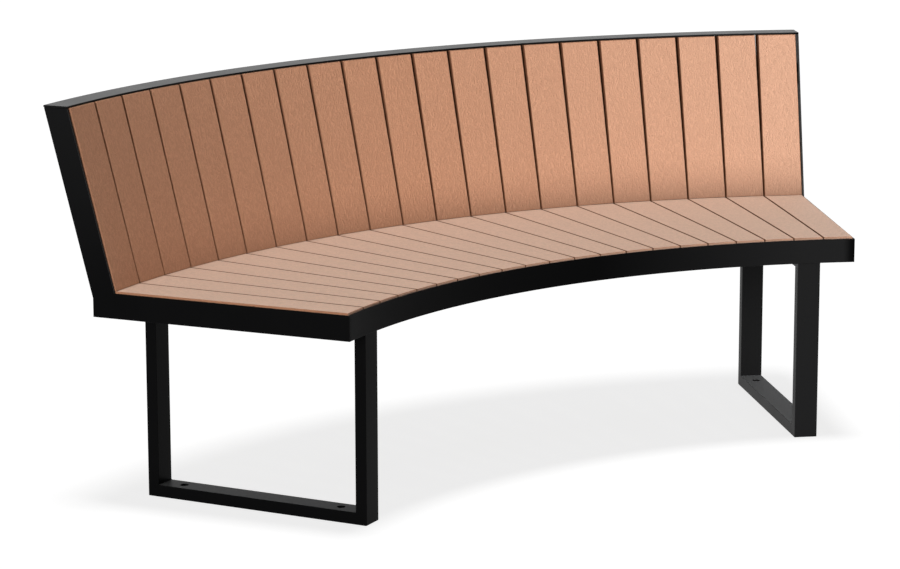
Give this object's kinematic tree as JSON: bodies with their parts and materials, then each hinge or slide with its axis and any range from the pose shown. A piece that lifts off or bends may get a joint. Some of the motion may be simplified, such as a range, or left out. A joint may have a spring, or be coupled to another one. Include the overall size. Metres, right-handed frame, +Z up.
{
  "type": "curved garden bench",
  "caption": "Arc-shaped outdoor bench with tapered seat boards, a leaning board back, black steel edging and closed loop legs.",
  "frame": {"origin": "floor level under the middle of the bounding box", "axes": "+X along the bench to the sitter's left, +Y towards the back, +Z up; the sitter looks along -Y"},
  "size_m": [2, 0.8525, 0.8135],
  "materials": {
    "seat_boards": "smooth, matt, pinkish brown, fine straight grain",
    "back_boards": "matt orange brown with a fine embossed grain",
    "black_steel": "black powder coat with a fine texture, satin"
  },
  "bodies": {
    "root": {"seat_board_01": "seat_boards", "seat_board_02": "seat_boards", "seat_board_03": "seat_boards", "seat_board_04": "seat_boards", "seat_board_05": "seat_boards", "seat_board_06": "seat_boards", "seat_board_07": "seat_boards", "seat_board_08": "seat_boards", "seat_board_09": "seat_boards", "seat_board_10": "seat_boards", "seat_board_11": "seat_boards", "seat_board_12": "seat_boards", "seat_board_13": "seat_boards", "seat_board_14": "seat_boards", "seat_board_15": "seat_boards", "seat_board_16": "seat_boards", "seat_board_17": "seat_boards", "seat_board_18": "seat_boards", "seat_board_19": "seat_boards", "seat_board_20": "seat_boards", "seat_board_21": "seat_boards", "back_board_01": "back_boards", "back_board_02": "back_boards", "back_board_03": "back_boards", "back_board_04": "back_boards", "back_board_05": "back_boards", "back_board_06": "back_boards", "back_board_07": "back_boards", "back_board_08": "back_boards", "back_board_09": "back_boards", "back_board_10": "back_boards", "back_board_11": "back_boards", "back_board_12": "back_boards", "back_board_13": "back_boards", "back_board_14": "back_boards", "back_board_15": "back_boards", "back_board_16": "back_boards", "back_board_17": "back_boards", "back_board_18": "back_boards", "back_board_19": "back_boards", "back_board_20": "back_boards", "back_board_21": "back_boards", "front_fascia": "black_steel", "rear_band": "black_steel", "top_cap": "black_steel", "front_seat_rail": "black_steel", "middle_seat_rail": "black_steel", "rear_seat_rail": "black_steel", "lower_back_rail": "black_steel", "upper_back_rail": "black_steel", "left_end_plate": "black_steel", "right_end_plate": "black_steel", "left_rib": "black_steel", "centre_rib": "black_steel", "right_rib": "black_steel", "left_leg_frame": "black_steel", "right_leg_frame": "black_steel"}
  },
  "joints": []
}
